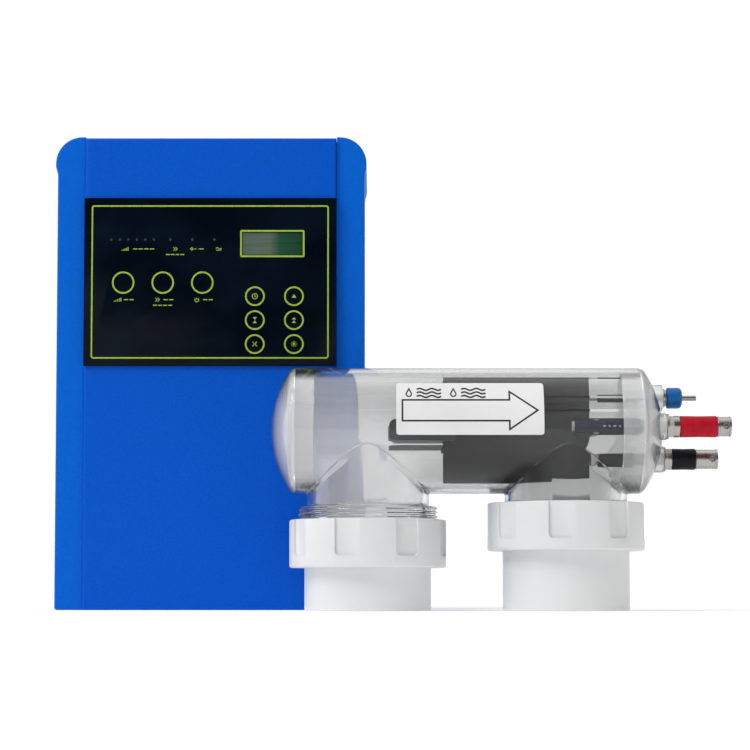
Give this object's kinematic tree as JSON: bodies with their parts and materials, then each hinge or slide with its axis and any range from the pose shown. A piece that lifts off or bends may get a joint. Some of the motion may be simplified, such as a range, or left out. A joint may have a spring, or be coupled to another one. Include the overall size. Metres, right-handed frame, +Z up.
{
  "type": "salt chlorine generator",
  "caption": "Pool salt chlorinator: blue steel control box with a gloss key panel, and a clear electrolysis cell on white union nuts.",
  "frame": {"origin": "middle of the footprint of box and cell, on the surface that both stand on", "axes": "+X to the viewer's right along the cell, +Y to the back of the control box, +Z up; the panel and the label face -Y"},
  "size_m": [0.491, 0.2376, 0.3545],
  "materials": {
    "blue_powder_coat": "fine orange-peel powder coat, satin",
    "gloss_panel": "printed gloss polycarbonate overlay",
    "display": "reflective liquid crystal display",
    "lamp_lens": "clear light pipe",
    "circuit_board": "green solder mask",
    "winding_tape": "wound polyester tape",
    "zinc_steel": "zinc plated",
    "bare_aluminium": "extruded",
    "black_nylon": "moulded nylon",
    "clear_acrylic": "polished clear acrylic",
    "coated_titanium": "matt mixed-oxide coating",
    "bare_titanium": "bright drawn rod",
    "blue_shrink": "heat-shrink sleeving",
    "black_sleeve": "heat-shrink sleeving",
    "red_sleeve": "soft vinyl boot",
    "nickel_plate": "nickel plated brass",
    "blue_cap": "moulded cap",
    "white_pvc": "moulded rigid vinyl, satin",
    "black_rubber": "nitrile rubber",
    "label_film": "printed vinyl sticker"
  },
  "bodies": {
    "control_box": {"left_cheek": "blue_powder_coat", "right_cheek": "blue_powder_coat", "back_pan": "blue_powder_coat", "front_cover": "blue_powder_coat", "bottom_plate": "blue_powder_coat", "fascia_panel": "gloss_panel", "lcd_module": "display", "indicator_strip": "lamp_lens", "keypad_board": "circuit_board", "power_board": "circuit_board", "ring_transformer": "winding_tape", "transformer_clamp": "zinc_steel", "left_cover_screw": "zinc_steel", "right_cover_screw": "zinc_steel", "heat_sink": "bare_aluminium", "mains_gland": "black_nylon", "cell_lead_gland": "black_nylon"},
    "cell": {"cell_body": "clear_acrylic", "left_end_cap": "clear_acrylic", "right_end_cap": "clear_acrylic", "anode_plate_1": "coated_titanium", "cathode_plate_2": "coated_titanium", "anode_plate_3": "coated_titanium", "cathode_plate_4": "coated_titanium", "anode_plate_5": "coated_titanium", "plate_comb": "black_nylon", "anode_stud": "bare_titanium", "cathode_stud": "bare_titanium", "sensor_pin": "bare_titanium", "anode_shrink": "blue_shrink", "cathode_shrink": "black_sleeve", "sensor_shrink": "black_sleeve", "cathode_sleeve": "black_sleeve", "anode_sleeve": "red_sleeve", "anode_nut": "nickel_plate", "cathode_nut": "nickel_plate", "sensor_nut": "nickel_plate", "anode_connector": "nickel_plate", "cathode_connector": "nickel_plate", "sensor_cap": "blue_cap", "inlet_tail": "white_pvc", "inlet_o_ring": "black_rubber", "outlet_tail": "white_pvc", "outlet_o_ring": "black_rubber", "flow_label": "label_film"},
    "output_key": {"output_key": "gloss_panel"},
    "boost_key": {"boost_key": "gloss_panel"},
    "power_key": {"power_key": "gloss_panel"},
    "clock_key": {"clock_key": "gloss_panel"},
    "minute_key": {"minute_key": "gloss_panel"},
    "timer_key": {"timer_key": "gloss_panel"},
    "hour_key": {"hour_key": "gloss_panel"},
    "clear_key": {"clear_key": "gloss_panel"},
    "day_key": {"day_key": "gloss_panel"},
    "inlet_slip_ring": {"inlet_slip_ring": "white_pvc"},
    "inlet_nut": {"inlet_nut": "white_pvc"},
    "outlet_slip_ring": {"outlet_slip_ring": "white_pvc"},
    "outlet_nut": {"outlet_nut": "white_pvc"},
    "anode_collar": {"anode_collar": "nickel_plate"},
    "cathode_collar": {"cathode_collar": "nickel_plate"}
  },
  "joints": [
    {"name": "cell_lift", "type": "slide", "parent": "control_box", "child": "cell", "axis": [0, 0, 1], "range_m": [0, 0.36]},
    {"name": "output_key_press", "type": "slide", "parent": "control_box", "child": "output_key", "axis": [0, 1, 0], "range_m": [0, 0.0005], "stiffness_N_per_m": 900, "springref_m": -0.0005},
    {"name": "boost_key_press", "type": "slide", "parent": "control_box", "child": "boost_key", "axis": [0, 1, 0], "range_m": [0, 0.0005], "stiffness_N_per_m": 900, "springref_m": -0.0005},
    {"name": "power_key_press", "type": "slide", "parent": "control_box", "child": "power_key", "axis": [0, 1, 0], "range_m": [0, 0.0005], "stiffness_N_per_m": 900, "springref_m": -0.0005},
    {"name": "clock_key_press", "type": "slide", "parent": "control_box", "child": "clock_key", "axis": [0, 1, 0], "range_m": [0, 0.0005], "stiffness_N_per_m": 900, "springref_m": -0.0005},
    {"name": "minute_key_press", "type": "slide", "parent": "control_box", "child": "minute_key", "axis": [0, 1, 0], "range_m": [0, 0.0005], "stiffness_N_per_m": 900, "springref_m": -0.0005},
    {"name": "timer_key_press", "type": "slide", "parent": "control_box", "child": "timer_key", "axis": [0, 1, 0], "range_m": [0, 0.0005], "stiffness_N_per_m": 900, "springref_m": -0.0005},
    {"name": "hour_key_press", "type": "slide", "parent": "control_box", "child": "hour_key", "axis": [0, 1, 0], "range_m": [0, 0.0005], "stiffness_N_per_m": 900, "springref_m": -0.0005},
    {"name": "clear_key_press", "type": "slide", "parent": "control_box", "child": "clear_key", "axis": [0, 1, 0], "range_m": [0, 0.0005], "stiffness_N_per_m": 900, "springref_m": -0.0005},
    {"name": "day_key_press", "type": "slide", "parent": "control_box", "child": "day_key", "axis": [0, 1, 0], "range_m": [0, 0.0005], "stiffness_N_per_m": 900, "springref_m": -0.0005},
    {"name": "inlet_nut_travel", "type": "slide", "parent": "cell", "child": "inlet_slip_ring", "axis": [0, 0, 1], "range_m": [-0.009, 0.012]},
    {"name": "inlet_nut_turn", "type": "hinge", "parent": "inlet_slip_ring", "child": "inlet_nut", "pos_m": [-0.01105, -0.06305, 0.0475], "axis": [0, 0, 1], "range_deg": [-1080, 1440]},
    {"name": "outlet_nut_travel", "type": "slide", "parent": "cell", "child": "outlet_slip_ring", "axis": [0, 0, 1], "range_m": [-0.021, 0]},
    {"name": "outlet_nut_turn", "type": "hinge", "parent": "outlet_slip_ring", "child": "outlet_nut", "pos_m": [0.12995, -0.06305, 0.0595], "axis": [0, 0, 1], "range_deg": [-2520, 0]},
    {"name": "anode_collar_turn", "type": "hinge", "parent": "cell", "child": "anode_collar", "pos_m": [0.2406, -0.07905, 0.13005], "axis": [1, 0, 0], "range_deg": [0, 90]},
    {"name": "cathode_collar_turn", "type": "hinge", "parent": "cell", "child": "cathode_collar", "pos_m": [0.2306, -0.06005, 0.10805], "axis": [1, 0, 0], "range_deg": [0, 90]}
  ],
  "couplings": [
    {"joint": "inlet_nut_turn", "follows": "inlet_nut_travel", "rad_per_m": 2094.4},
    {"joint": "outlet_nut_turn", "follows": "outlet_nut_travel", "rad_per_m": 2094.4}
  ]
}
